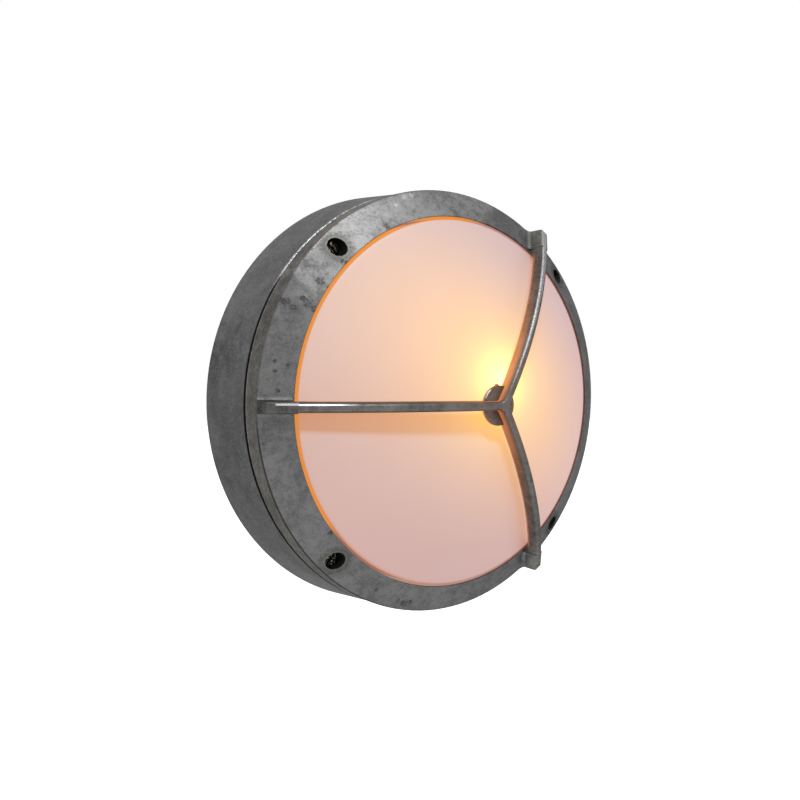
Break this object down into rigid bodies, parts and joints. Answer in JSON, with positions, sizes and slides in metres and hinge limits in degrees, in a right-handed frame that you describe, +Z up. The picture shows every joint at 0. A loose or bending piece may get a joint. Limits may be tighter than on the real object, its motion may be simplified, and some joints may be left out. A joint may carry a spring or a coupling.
{
  "type": "outdoor wall light",
  "caption": "Round cast bulkhead wall light with an opal glass dome behind a guard ring whose arms meet at a central disc, on a flared bowl screwed to the wall.",
  "frame": {"origin": "middle of the bowl's back, in the plane of the wall", "axes": "-Y out of the wall, the way the light faces; +Z up; +X to the right seen from the front"},
  "size_m": [0.2716, 0.1061, 0.2716],
  "materials": {
    "cast_metal": "weathered sand casting, matt",
    "opal_glass": "opal, satin",
    "rubber": "matt",
    "zinc_steel": "zinc plated",
    "brass": "dull",
    "porcelain": "glazed",
    "frosted_lamp": "frosted",
    "block_plastic": "matt",
    "tinned_copper": "tinned",
    "brown_insulation": "satin",
    "blue_insulation": "satin",
    "green_insulation": "satin"
  },
  "bodies": {
    "root": {"base_housing": "cast_metal", "guard_ring": "cast_metal", "glass_dome": "opal_glass", "glass_seal": "rubber", "rim_gasket": "rubber", "glass_clips": "zinc_steel", "clip_screws": "zinc_steel", "cover_screws": "brass", "holder_bracket": "zinc_steel", "bracket_screws": "zinc_steel", "holder_body": "porcelain", "holder_shell": "brass", "holder_centre_contact": "brass", "holder_terminal_screws": "brass", "holder_fixing_screws": "zinc_steel", "light_bulb": "frosted_lamp", "terminal_block_body": "block_plastic", "terminal_sleeves": "brass", "terminal_screws": "zinc_steel", "block_screws": "zinc_steel", "earth_lug": "tinned_copper", "earth_washer": "zinc_steel", "earth_screw": "brass", "cable_grommet": "rubber", "live_lead": "brown_insulation", "neutral_lead": "blue_insulation", "earth_lead": "green_insulation"}
  },
  "joints": []
}
